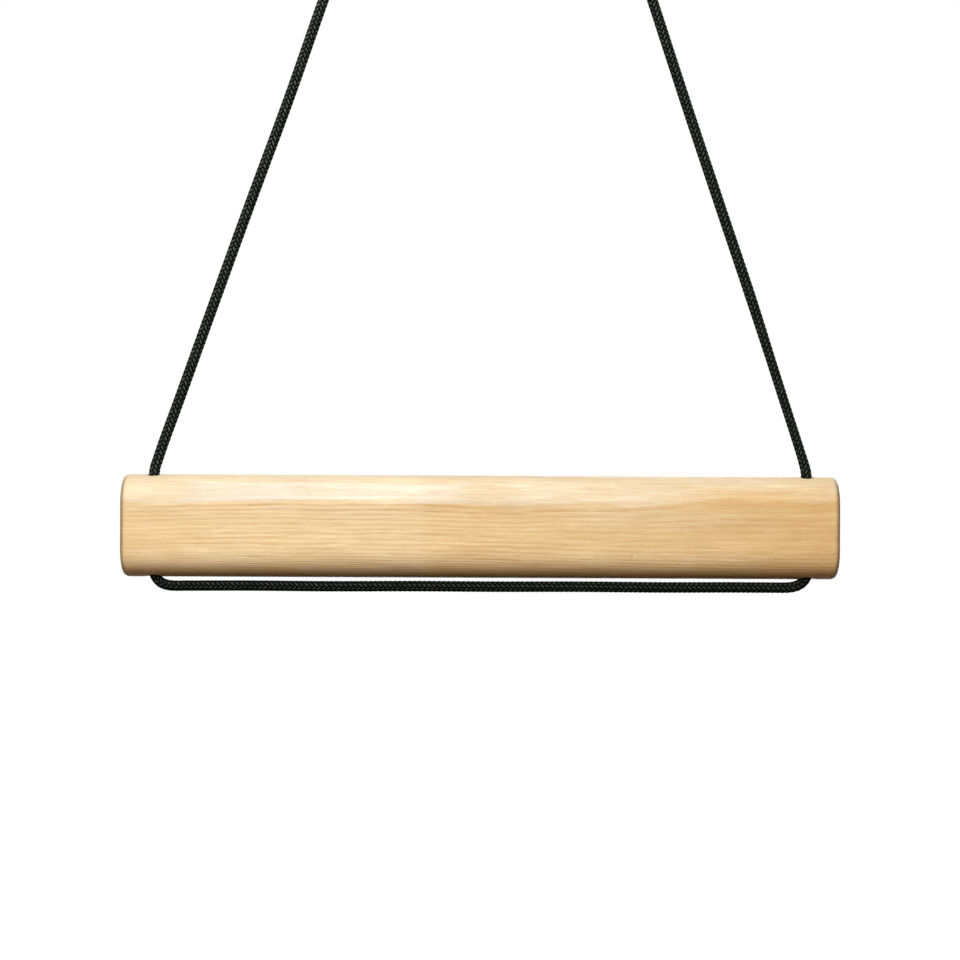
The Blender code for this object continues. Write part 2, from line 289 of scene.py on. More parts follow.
def makeTube(
    name, points, facing=(0.0, -1.0, 0.0), row=0.0, twist=0.0, sealed=False, thickness=((0.0, 1.0),)
):
    # A braided cord along the points: a grid that is rolled up round them
    line, travelled = evenLine(points, braid["spacing"])
    bm = bmesh.new()
    bmesh.ops.create_grid(bm, x_segments=braid["sides"], y_segments=len(line) - 1, size=1.0)
    mesh = meshFrom(bm, name)
    angle = np.linspace(0.0, 2 * math.pi, braid["sides"] + 1)[None, :]
    rowAngle = np.radians(row + twist * travelled)[:, None]
    turns = (angle - rowAngle) / (2 * math.pi) + braid["rowShift"] / (2 * braid["strands"])
    strokes = np.broadcast_to((travelled / braid["stroke"])[:, None], turns.shape)
    top = braid["crown"] + braid["lift"]
    height = braidHeight(turns, strokes)
    full = np.interp(travelled, *zip(*thickness))
    melted = np.zeros(len(line))
    if sealed:
        melted, ends = sealedTip(travelled)
        height = height * (1 - melted)[:, None] + top * tip["skin"] * melted[:, None]
        full = full * ends
    radius = (cordRadius + braid["proud"] - top + height) * full[:, None]
    normals, aside = framesAlong(line, facing)
    around = normals[:, None, :] * np.cos(angle)[..., None] + aside[:, None, :] * np.sin(angle)[..., None]
    places = line[:, None, :] + around * radius[..., None]
    mesh.vertices.foreach_set("co", places.reshape(-1).astype(np.float32))
    writeBraid(mesh, turns, strokes, melted)
    closeTube(mesh)
    mesh.shade_smooth()
    return addPiece(name, mesh), line


def beside(route, side, level):
    return [Vector((side * (holeX - inwards), 0.0, level + height)) for inwards, height in route]


def loopEnd(side, legRoute, topInwards):
    # Up the leg is along, and outwards is square to it, away from the bar's middle
    last = beside(legRoute, side, crestZ)[-1]
    top = Vector((side * (holeX - topInwards), 0.0, 0.0))
    along = (top - last).normalized()
    outwards = Vector((side * along.z, 0.0, -side * along.x))
    knotBottom = top - along * (cordRoute["loopLength"] + cordRoute["knotLength"])

    def place(out, up, depth=0.0):
        # from the bottom of the knot; depth is towards the back
        return knotBottom + outwards * out + along * up + Vector((0.0, depth, 0.0))

    return place


def makeLeg(label, side, place):
    route = beside(cordRoute["legStart"] + cordRoute[label + "Leg"], side, crestZ)
    route += [place(0.0, -cordRoute["gap"]), place(0.0, cordRoute["legInKnot"])]
    return makeTube(
        label + "Leg", smoothCurve(route), row=braid[label + "Row"], thickness=braid[label + "Thickness"],
    )


def makeLoop(label, place):
    base, gap, inKnot = cordRoute["knotLength"], cordRoute["gap"], cordRoute["endInKnot"]
    wide = cordRoute["loopHalfWidth"]
    crown = cordRoute["loopLength"] + cordRadius
    pitch = cordRoute["strandPitch"]
    route = [
        (0.0, -inKnot), (0.0, gap), (0.0, cordRadius),
        (-0.25 * wide, 0.22 * crown), (-0.65 * wide, 0.45 * crown),
        (-0.98 * wide, 0.72 * crown), (-0.75 * wide, 0.92 * crown), (0.0, crown),
        (0.75 * wide, 0.92 * crown), (0.98 * wide, 0.72 * crown),
        (0.84 * wide, 0.45 * crown), (pitch, cordRadius), (pitch, gap), (pitch, -inKnot),
    ]
    return makeTube(label + "Loop", smoothCurve([place(out, base + up) for out, up in route]))[0]


def makeTail(label, place):
    pitch, gap = cordRoute["strandPitch"], cordRoute["gap"]
    length = cordRoute["tailLength"]
    route = [
        (pitch, cordRoute["endInKnot"]), (pitch, -gap), (pitch, -cordRadius),
        (pitch + 0.04 * length, -0.45 * length), (pitch + 0.16 * length, cordRadius - length),
        (pitch + 0.185 * length, -length),
    ]
    return makeTube(label + "Tail", smoothCurve([place(out, up) for out, up in route]), sealed=True)[0]


# A noose knot: three turns round the leg and the tail, whose ends dive in at the back
knotTurns = {
    "from": -0.42,
    "to": 2.42,
    "steps": 400,
    "tucked": 0.30,  # the radius of the ends, as a share of the full one
    "tuckRise": 7.5,  # how fast it grows to the full one
    "squareness": 2.5,  # how sharply a turn goes from one held strand to the next
    "endRoom": 1.2 * mm,  # between the turns' middle lines and the knot's ends
}


def makeKnot(label, place):
    half = cordRoute["strandPitch"] / 2
    reach = braid["diameter"]
    room = knotTurns["endRoom"]
    points = []
    for step in range(knotTurns["steps"] + 1):
        share = step / knotTurns["steps"]
        turn = knotTurns["from"] + share * (knotTurns["to"] - knotTurns["from"])
        angle = turn * 2 * math.pi
        tuck = min(1.0, knotTurns["tucked"] + knotTurns["tuckRise"] * min(share, 1.0 - share))
        tuck = tuck * tuck * (3 - 2 * tuck)
        sideways = half * math.tanh(knotTurns["squareness"] * math.sin(angle)) + reach * math.sin(angle)
        up = cordRadius + braid["diameter"] * turn
        up = min(max(up, room), cordRoute["knotLength"] - room)
        points.append(place(half + tuck * sideways, up, -tuck * reach * math.cos(angle)))
    return makeTube(label + "Knot", points, facing=(0.0, 0.0, 1.0))[0]


def makeCordUnderBar():
    down = {}
    for label, side in (("left", -1), ("right", 1)):
        down[label] = beside([(0.0, cordRoute["topInHole"])], side, crestZ)
        down[label].append(Vector((side * holeX, 0.0, barMiddle.z)))
        down[label] += beside(cordRoute[label + "Bend"], side, undersideZ)
    under = [
        Vector(((2 * share - 1) * holeX, 0.0, undersideZ + height))
        for share, height in cordRoute["underBar"]
    ]
    route = down["left"] + under + down["right"][::-1]
    return makeTube("cordUnderBar", smoothCurve(route), row=braid["underRow"], twist=braid["underTwist"])[0]


cordPieces = []
for label, side in (("left", -1), ("right", 1)):
    place = loopEnd(side, cordRoute[label + "Leg"], cordRoute[label + "LoopTop"])
    leg, legLine = makeLeg(label, side, place)
    knot = makeKnot(label, place)
    loop = makeLoop(label, place)
    tail = makeTail(label, place)
    for piece, node in ((knot, "_knot"), (loop, "_loop"), (tail, "_tail")):
        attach(piece, "hung_cord")
        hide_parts(label + node)
    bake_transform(leg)
    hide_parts(label + "_leg")
    legLength = float(np.linalg.norm(np.diff(legLine, axis=0), axis=1).sum())
    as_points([tuple(point) for point in legLine[::cordRoute["pathStep"]]] + [tuple(legLine[-1])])
    cordPieces += [leg, knot, loop, tail]
    print(label, "leg, knot, loop and tail made, leg", round(legLength, 4), "m")
cordUnderBar = makeCordUnderBar()
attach(cordUnderBar, "bar")
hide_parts("cord_under_bar")
cordPieces.append(cordUnderBar)
print("cord under the bar made")


# The bar: rounded along its length, with a hole near each end and a rail in its back
barShape = {
    "edgeRadius": 17.5 * mm,
    "edgeSegments": 12,
    "plump": (1.0, 1.003, 1.004),  # makes up for what the smoothing draws in
    "endRounding": 3.5 * mm,
    "endSegments": 4,
    "roundingSteps": 4,
    "insetStep": 0.02 * mm,
    "holeRadius": 4.0 * mm,
    "topRounding": 0.8 * mm,
    "underRounding": 2.0 * mm,
    "mouthPatch": (8.0 * mm, 8.6 * mm),  # half the length and depth of what a mouth is cut in
    "mouthBorders": (1.4 * mm, 0.35 * mm),  # rings of faces outside the rounding
    "mouthDepth": 7.0 * mm,  # from there on the hole is straight
    "railLength": 340.0 * mm,
    "railHeight": 22.0 * mm,
    "railDepth": 20.0 * mm,
    "railCorner": 6.0 * mm,
    "railLip": 4.0 * mm,
    "railFillet": 3.0 * mm,
    "leastCorner": 0.5 * mm,
    "railPatch": (2.0 * mm, 0.6 * mm),  # past the lip, along and up
    "mouthLines": 2.0 * mm,  # between the lines of edges across the bar near a hole
    "besideMouth": (208.5 * mm, 182.5 * mm),
    "railEndLines": 2.4 * mm,  # and at the rail's ends
    "middleFaces": 40,
    "heightLines": 4.4 * mm,
    "endLines": 4.5 * mm,
}


def edgesAlong(bm, axis):
    return [
        edge for edge in bm.edges
        if abs((edge.verts[1].co - edge.verts[0].co).normalized()[axis]) > 0.99
    ]


def cutAt(bm, axis, places, faces=None):
    # Edge lines across the bar, or across some faces of it
    normal = Vector((0.0, 0.0, 0.0))
    normal[axis] = 1.0
    for place in places:
        if faces is None:
            geometry = bm.verts[:] + bm.edges[:] + bm.faces[:]
        else:
            chosen = [face for face in bm.faces if faces(face)]
            edges = dict.fromkeys(edge for face in chosen for edge in face.edges)
            verts = dict.fromkeys(vert for face in chosen for vert in face.verts)
            geometry = chosen + list(edges) + list(verts)
        bmesh.ops.bisect_plane(bm, geom=geometry, dist=1e-7, plane_co=normal * place, plane_no=normal)


def surfaceDrop(y):
    # How far the round top lies below its crest at a distance from the bar's middle plane
    radius = barShape["edgeRadius"]
    flat = (barHigh.y - barLow.y) / 2 - radius
    past = max(0.0, abs(y) - flat)
    return radius - math.sqrt(max(0.0, radius ** 2 - past ** 2))


def quarterRound():
    # Down a rounded edge: the share of its radius still to go inwards, and that gone down
    steps = barShape["roundingSteps"]
    angles = [math.pi / 2 * step / steps for step in range(steps + 1)]
    return [(1 - math.sin(angle), 1 - math.cos(angle)) for angle in angles]


def insetRing(bm, face):
    # One more ring of faces inside a face, whose corners are then moved
    bmesh.ops.inset_region(bm, faces=[face], thickness=barShape["insetStep"], use_even_offset=True)
    return face.verts


def openMouth(bm, x, upwards):
    # A round opening through the top or the underside, in coordinates from the bar's middle
    shape = barShape
    half = (barHigh.z - barLow.z) / 2
    axisY = -barMiddle.y
    halfLength, halfDepth = shape["mouthPatch"]
    patch = [
        face for face in bm.faces
        if upwards * face.normal.z > 0.5
        and abs(face.calc_center_median().x - x) < halfLength
        and abs(face.calc_center_median().y - axisY) < halfDepth
    ]
    face = bmesh.ops.dissolve_faces(bm, faces=patch, use_verts=False)["region"][0]
    hole = shape["holeRadius"]
    rounding = shape["topRounding"] if upwards > 0 else shape["underRounding"]
    rings = [(hole + rounding + border, 0.0, 1.0) for border in shape["mouthBorders"]]
    rings += [(hole + rounding * out, rounding * down, 1.0) for out, down in quarterRound()]
    rings.append((hole, shape["mouthDepth"], 0.0))
    for radius, depth, follow in rings:  # follow is 1 where the ring keeps to the round surface
        for vert in insetRing(bm, face):
            direction = Vector((vert.co.x - x, vert.co.y - axisY)).normalized()
            y = axisY + direction.y * radius
            vert.co = (x + direction.x * radius, y, upwards * (half - follow * surfaceDrop(y) - depth))
    return face


def cutRail(bm):
    shape = barShape
    back = (barHigh.y - barLow.y) / 2
    lip, fillet = shape["railLip"], shape["railFillet"]
    halfLength, halfHeight = shape["railLength"] / 2, shape["railHeight"] / 2
    pastEnd, pastSide = shape["railPatch"]
    region = [
        face for face in bm.faces
        if face.normal.y > 0.9
        and abs(face.calc_center_median().x) < halfLength + lip + pastEnd
        and abs(face.calc_center_median().z) < halfHeight + lip + pastSide
    ]
    face = bmesh.ops.dissolve_faces(bm, faces=region, use_verts=False)["region"][0]
    # how far outside the rail's wall each ring lies, and how deep
    rings = [(lip * out, lip * down) for out, down in quarterRound()]
    rings.append((0.0, (lip + shape["railDepth"]) / 2))
    rings += [(-fillet * down, shape["railDepth"] - fillet * out) for out, down in quarterRound()]
    for outside, depth in rings:
        corner = max(shape["railCorner"] + outside, shape["leastCorner"])
        coreX, coreZ = halfLength + outside - corner, halfHeight + outside - corner
        for vert in insetRing(bm, face):
            near = Vector((max(-coreX, min(coreX, vert.co.x)), max(-coreZ, min(coreZ, vert.co.z))))
            edge = near + (Vector((vert.co.x, vert.co.z)) - near).normalized() * corner
            vert.co = (edge.x, back - depth, edge.y)
    # the rail's floor is one long face, so it is cut across between facing corners
    upper = sorted((v for v in face.verts if v.co.z > 0.0), key=lambda v: v.co.x)
    lower = sorted((v for v in face.verts if v.co.z < 0.0), key=lambda v: v.co.x)
    for top, bottom in zip(upper, lower):
        if abs(top.co.x - bottom.co.x) < 0.01 * mm and abs(top.co.x) < halfLength - fillet - pastEnd:
            bmesh.ops.connect_vert_pair(bm, verts=[top, bottom])


def barStations():
    # Where lines of edges go round the bar: close at the holes and the rail's ends
    shape = barShape
    places = [holeX + step * shape["mouthLines"] for step in range(-4, 5)]
    places += shape["besideMouth"]
    outer = shape["railLength"] / 2 + shape["railLip"] + shape["railPatch"][0]
    places += [outer - step * shape["railEndLines"] for step in range(6)]
    places += [-place for place in places]
    inner = outer - 5 * shape["railEndLines"]
    count = shape["middleFaces"]
    return places + [-inner + 2 * inner * step / count for step in range(1, count)]


def makeBar():
    shape = barShape
    bm = bmesh.new()
    bmesh.ops.create_cube(bm, size=1.0)
    bmesh.ops.scale(bm, vec=barHigh - barLow, verts=bm.verts)
    bmesh.ops.bevel(
        bm, geom=edgesAlong(bm, 0), offset=shape["edgeRadius"], segments=shape["edgeSegments"],
        profile=0.5, affect="EDGES", material=-1,
    )
    endEdges = [edge for edge in bm.edges if any(len(face.verts) > 4 for face in edge.link_faces)]
    bmesh.ops.bevel(
        bm, geom=endEdges, offset=shape["endRounding"], segments=shape["endSegments"],
        profile=0.5, affect="EDGES", material=-1,
    )
    bm.normal_update()
    cutAt(bm, 0, barStations())
    fromMiddle = range(-2, 3)
    cutAt(bm, 2, [step * shape["heightLines"] for step in fromMiddle])
    bm.normal_update()
    cutAt(bm, 1, [step * shape["endLines"] for step in fromMiddle], lambda face: abs(face.normal.x) > 0.999)
    bm.normal_update()
    for side in (-1, 1):
        mouths = [openMouth(bm, side * holeX, 1), openMouth(bm, side * holeX, -1)]
        loops = [edge for face in mouths for edge in face.edges]
        bmesh.ops.delete(bm, geom=mouths, context="FACES_ONLY")
        bmesh.ops.bridge_loops(bm, edges=loops)
    bm.normal_update()
    cutRail(bm)
    bmesh.ops.scale(bm, vec=shape["plump"], verts=bm.verts)
    bmesh.ops.translate(bm, vec=barMiddle, verts=bm.verts)
    bmesh.ops.recalc_face_normals(bm, faces=bm.faces)
    mesh = meshFrom(bm, "hangBar")
    mesh.shade_smooth()
    # how far each point faces along the bar: it marks the end grain, and where painted shade darkens the
    # rounded ends
    normals = np.zeros(len(mesh.vertices) * 3, np.float32)
    mesh.vertex_normals.foreach_get("vector", normals)
    endGrainAndShade = mesh.attributes.new("endGrainAndShade", "FLOAT", "POINT")
    endGrainAndShade.data.foreach_set("value", np.abs(normals.reshape(-1, 3)[:, 0]))
    piece = addPiece("hangBar", mesh)
    smooth = piece.modifiers.new("smooth", "SUBSURF")
    smooth.levels = smooth.render_levels = 1
    return piece


hangBar = makeBar()
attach(hangBar, "bar")
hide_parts("bar")
print("bar made,", len(hangBar.data.polygons), "faces before smoothing")


# Node building
def newMaterial(name):
    material = bpy.data.materials.new(name)
    material.use_nodes = True
    tree = material.node_tree
    return material, tree, tree.nodes["Principled BSDF"]


def feed(tree, value, socket):
    if isinstance(value, bpy.types.NodeSocket):
        tree.links.new(value, socket)
    else:
        socket.default_value = value


def calc(tree, operation, *values):
    node = tree.nodes.new("ShaderNodeMath")
    node.operation = operation
    for value, socket in zip(values, node.inputs):
        feed(tree, value, socket)
    return node.outputs[0]


def multiply(tree, first, *others):
    for other in others:
        first = calc(tree, "MULTIPLY", first, other)
    return first


def add(tree, first, *others):
    for other in others:
        first = calc(tree, "ADD", first, other)
    return first


def bell(tree, value):
    # 1 at nothing, and less on both sides of it
    return calc(tree, "EXPONENT", multiply(tree, value, value, -1.0))


def between(tree, factor, first, second):
    node = tree.nodes.new("ShaderNodeMix")
    node.clamp_factor = False
    for value, socket in zip((factor, first, second), (node.inputs[0], node.inputs[2], node.inputs[3])):
        feed(tree, value, socket)
    return node.outputs[0]


def mixed(tree, factor, first, second, kind="MIX"):
    node = tree.nodes.new("ShaderNodeMix")
    node.data_type = "RGBA"
    node.blend_type = kind
    feed(tree, factor, node.inputs["Factor"])
    for colour, socket in ((first, node.inputs[6]), (second, node.inputs[7])):
        feed(tree, (*colour, 1.0) if isinstance(colour, tuple) else colour, socket)
    return node.outputs[2]


def ramp(tree, value, low, high, fromLow, fromHigh, smooth=True):
    # From low at fromLow to high at fromHigh, and level on both sides
    node = tree.nodes.new("ShaderNodeMapRange")
    node.interpolation_type = "SMOOTHSTEP" if smooth else "LINEAR"
    for socket, amount in zip(node.inputs, (value, fromLow, fromHigh, low, high)):
        feed(tree, amount, socket)
    return node.outputs[0]


def stretchedNoise(tree, place, scale, detail=2.0, roughness=0.5, seed=0.0):
    # scale is how many features there are in one unit along X, Y and Z
    mapping = tree.nodes.new("ShaderNodeMapping")
    mapping.inputs["Scale"].default_value = scale
    mapping.inputs["Location"].default_value = (seed, seed * 0.7, seed * 1.3)
    feed(tree, place, mapping.inputs["Vector"])
    noise = tree.nodes.new("ShaderNodeTexNoise")
    noise.inputs["Scale"].default_value = 1.0
    noise.inputs["Detail"].default_value = detail
    noise.inputs["Roughness"].default_value = roughness
    feed(tree, mapping.outputs[0], noise.inputs["Vector"])
    return noise.outputs["Fac"]


def randomFor(tree, number):
    # One random value for each whole number
    node = tree.nodes.new("ShaderNodeTexWhiteNoise")
    node.noise_dimensions = "1D"
    feed(tree, number, node.inputs["W"])
    return node.outputs["Value"]


def handCurve(tree, value, points):
    node = tree.nodes.new("ShaderNodeFloatCurve")
    curve = node.mapping.curves[0]
    for index, (x, y) in enumerate(points):
        if index < 2:
            curve.points[index].location = (x, y)
        else:
            curve.points.new(x, y)
    node.mapping.update()
    feed(tree, value, node.inputs["Value"])
    return node.outputs[0]


def coordinates(tree, kind="Object"):
    return tree.nodes.new("ShaderNodeTexCoord").outputs[kind]


def splitUp(tree, vector):
    # Its X, Y and Z
    node = tree.nodes.new("ShaderNodeSeparateXYZ")
    feed(tree, vector, node.inputs[0])
    return node.outputs


def attribute(tree, name):
    node = tree.nodes.new("ShaderNodeAttribute")
    node.attribute_name = name
    return node.outputs["Fac"]


def addBump(tree, shader, height, look):
    node = tree.nodes.new("ShaderNodeBump")
    node.inputs["Strength"].default_value = look["bump"]
    node.inputs["Distance"].default_value = look["bumpHeight"]
    feed(tree, height, node.inputs["Height"])
    feed(tree, node.outputs[0], shader.inputs["Normal"])


# Ash: pale late wood between thin porous lines of early wood. The rings lie at a slant
# across the bar, nearly in line with the surface along the front's upper edge, where one
# broad ring shows as a pale patch. Curves run along the bar, from 0 at the left to 1.
ash = {
    "late": (0.90, 0.727, 0.458),
    "early": (0.66, 0.395, 0.160),
    "dash": (0.96, 0.830, 0.59),
    "border": (0.88, 0.63, 0.34),
    "pale": (0.875, 0.832, 0.735),
    "cool": (1.0, 1.0, 1.0),
    # the warm colour is also darker, so towards the right end it carries painted shade
    "warm": (0.82, 0.68, 0.50),
    "edge": (0.50, 0.475, 0.44),  # end grain where the ends are rounded: partly its own darker colour, partly painted shade as the rounding turns from the light
    "cap": (0.98, 0.91, 0.81),  # and on the flat faces
    "capRing": (0.70, 0.58, 0.46),  # the rings there
    "knotColour": (0.40, 0.29, 0.11),
    "knotPlace": (90.4 * mm, barLow.y + 0.5 * mm, barLow.z + 13.3 * mm),  # a pin knot low on the front
    "knotStrength": 0.34,
    "fleckPlace": (92.1 * mm, barLow.y + 0.4 * mm, barLow.z + 13.9 * mm),  # and a pale fleck beside it
    "fleckStrength": 0.60,
    "knotRadius": 1.1 * mm,
    "knotCore": 0.3,  # the share of it at which they begin to fade
    "ringWidth": 1.28 * mm,
    "firstRing": 4.0,
    "slantDegrees": 29.0,
    "pithDistance": 350.0 * mm,
    "noises": {  # features in a metre along and across the grain, detail, roughness and seed
        "sway": (9.0, 60.0, 2.0, 0.5, 3.1),
        "quiver": (55.0, 420.0, 2.0, 0.5, 7.7),
        "uneven": (2.0, 150.0, 1.0, 0.5, 11.0),
        "fibre": (38.0, 2100.0, 3.0, 0.6, 1.3),
        "band": (50.0, 1050.0, 2.0, 0.6, 33.0),
        "cloud": (14.0, 90.0, 3.0, 0.55, 9.4),
        "fleck": (420.0, 1500.0, 1.0, 0.5, 41.0),
        "pore": (150.0, 4200.0, 1.0, 0.5, 5.9),
        "broken": (48.0, 620.0, 2.0, 0.6, 21.0),
        "paleDash": (48.0, 900.0, 2.0, 0.55, 15.2),
        "feather": (22.0, 520.0, 3.0, 0.6, 27.0),
    },
    "swings": {  # how far those that bend something swing
        "sway": 1.5 * mm, "quiver": 0.42 * mm, "uneven": 0.9, "feather": 3.0 * mm,
    },
    "steps": {  # the results, their marks, and False for a straight slope
        "swell": (0.12, 1.0, -14.0 * mm, 0.0),
        "strength": (0.62, 1.0, 0.0, 1.0, False),  # how unlike the rings are
        "rise": (1.0, 0.0, 0.10, 0.85),  # a ring's line starts sharply and fades slowly
        "onset": (0.0, 1.0, 0.0, 0.08),
        "broken": (0.45, 1.0, 0.36, 0.60),
        "linesInPatch": (1.0, 0.26, 0.0, 1.0, False),
        "lowLines": (2.2, 1.0, 0.35, 0.75),  # how much stronger they are near the underside
        "plainRight": (0.0, 1.0, 0.70, 0.84),
        "patch": (0.0, 1.0, -0.75 * mm, 0.45 * mm),
        "paleDash": (0.0, 1.0, 0.53, 0.72),
        "calm": (1.0, 0.42, 0.62, 0.98),  # what is left of the streaks in the palest wood
        "fibre": (0.94, 1.06, 0.25, 0.75, False),
        "band": (0.88, 1.12, 0.22, 0.78, False),
        "cloud": (0.89, 1.11, 0.25, 0.75, False),
        "fleck": (0.97, 1.03, 0.3, 0.7, False),
        "pore": (0.0, 1.0, 0.60, 0.72),
        "poreDark": (1.0, 0.80, 0.0, 1.0, False),
        "end": (0.0, 1.0, 0.10, 0.66),
        "cap": (0.0, 1.0, 0.88, 1.0),
        "roughness": (0.41, 0.58, 0.3, 1.1, False),
    },
    "edgeMean": 1.5 * mm,  # the mean depth of the patch's lower edge
    "edgeDepth": 5.0 * mm,
    "patchEdge": [  # along the bar, and that edge's depth as a share of edgeDepth
        (0.0, 0.44), (0.06, 0.38), (0.11, 0.26), (0.21, 0.20), (0.28, 0.24), (0.40, 0.22),
        (0.45, 0.29), (0.50, 0.39), (0.545, 0.41), (0.60, 0.31), (0.68, 0.30), (0.72, 0.28),
        (0.765, 0.16), (0.80, 0.07), (0.84, 0.01), (0.88, 0.0), (0.93, 0.0), (1.0, 0.04),
    ],
    "fadeWidth": 3.0,
    "patchFade": [  # and how widely it fades, as a share of fadeWidth
        (0.0, 0.75), (0.09, 0.60), (0.18, 0.38), (0.44, 0.36), (0.52, 0.60), (0.64, 0.85),
        (0.76, 0.80), (0.86, 0.60), (1.0, 0.70),
    ],
    "paleness": [  # how pale the patch is: two long bright flames
        (0.0, 0.52), (0.05, 0.53), (0.11, 0.90), (0.16, 1.0), (0.21, 1.0), (0.26, 0.92),
        (0.31, 0.80), (0.36, 0.86), (0.41, 0.80), (0.46, 0.83), (0.51, 0.52), (0.56, 0.65),
        (0.61, 0.67), (0.66, 0.57), (0.71, 0.62), (0.76, 0.66), (0.81, 0.50), (0.86, 0.22),
        (0.91, 0.26), (0.96, 0.52), (1.0, 0.56),
    ],
    "crestPale": [  # and how pale the wood is over it, as far as the crest
        (0.0, 0.46), (0.30, 0.42), (0.55, 0.46), (0.72, 0.50), (0.78, 0.56), (0.92, 0.53), (1.0, 0.48),
    ],
    "crestLevels": (-14.0 * mm, -1.0 * mm),
    "crestMarks": (2.5 * mm, 6.5 * mm),  # above the line where a ring touches the surface
    "reachDepth": 5.5 * mm,
    "reachFeather": 0.7,
    "crestReach": [  # how much further down that goes, as a share of reachDepth
        (0.0, 0.0), (0.76, 0.0), (0.81, 0.40), (0.86, 0.62), (0.91, 0.62), (0.96, 0.52), (1.0, 0.60),
    ],
    "veilDepth": (17.5 * mm, 26.5 * mm),  # of a faint second band, below the crest at each end
    "veilWidth": 5.5 * mm,
    "veil": [  # how pale that band is
        (0.0, 0.30), (0.08, 0.15), (0.16, 0.12), (0.28, 0.22), (0.36, 0.20), (0.42, 0.04),
        (0.54, 0.0), (0.62, 0.12), (0.70, 0.26), (0.80, 0.27), (0.86, 0.12), (0.92, 0.02), (1.0, 0.0),
    ],
    "borderWidth": 0.60 * mm,
    "borderBelow": 1.6,  # widths below the patch's edge
    "borderTone": [  # how orange the wood is there
        (0.0, 0.0), (0.08, 0.05), (0.14, 0.34), (0.22, 0.34), (0.30, 0.18), (0.38, 0.30),
        (0.44, 0.40), (0.52, 0.33), (0.60, 0.06), (0.68, 0.06), (0.74, 0.12), (0.80, 0.32),
        (0.86, 0.44), (0.92, 0.36), (1.0, 0.15),
    ],
    "crowding": [(0.0, 1.06), (0.40, 1.04), (0.80, 0.78), (1.0, 0.74)],  # how close the rings lie
    "toneAndShade": [  # how warm the wood is: its own tone, and towards the right end painted shade that darkens it
        (0.0, 0.46), (0.06, 0.28), (0.18, 0.08), (0.26, 0.12), (0.32, 0.02), (0.38, 0.03),
        (0.44, 0.30), (0.50, 0.44), (0.58, 0.44), (0.68, 0.42), (0.76, 0.50), (0.82, 0.64),
        (0.90, 0.76), (0.96, 0.84), (1.0, 0.80),
    ],
    "toneInPatch": 0.4,
    "lineShare": [  # how strong the lines of early wood are
        (0.0, 0.28), (0.05, 0.32), (0.11, 0.48), (0.18, 0.60), (0.38, 0.60), (0.66, 0.44), (1.0, 0.42),
    ],
    "plainMarks": (-15.0 * mm, -9.0 * mm),  # and below it, where the upper right grows plain
    "quiet": 0.15,  # what is left of the lines in that plain wood
    "lowReach": 20.0 * mm,
    "lowRange": (0.8, 1.2),
    "lowEdgePaintedShade": [  # up from the underside in lowReach, and how bright the wood is painted in lowRange: painted light in a paler band and painted shade in the lowest rows, for the shading of the lower round
        (0.0, 0.25), (0.08, 0.28), (0.15, 0.36), (0.23, 0.46), (0.31, 0.65), (0.48, 0.84),
        (0.66, 0.70), (0.85, 0.51), (1.0, 0.50),
    ],
    "dashShare": 0.90,
    "poreInLines": 0.8,
    "poreElsewhere": 0.15,
    "shadePowers": (0.75, 1.0, 1.40),  # of red, green and blue: darker wood is warmer
    "roughInLines": 0.5,
    "specular": 0.06,
    "fibreRelief": 0.6,
    "poreRelief": 0.5,
    "bump": 0.25,
    "bumpHeight": 0.08 * mm,
}


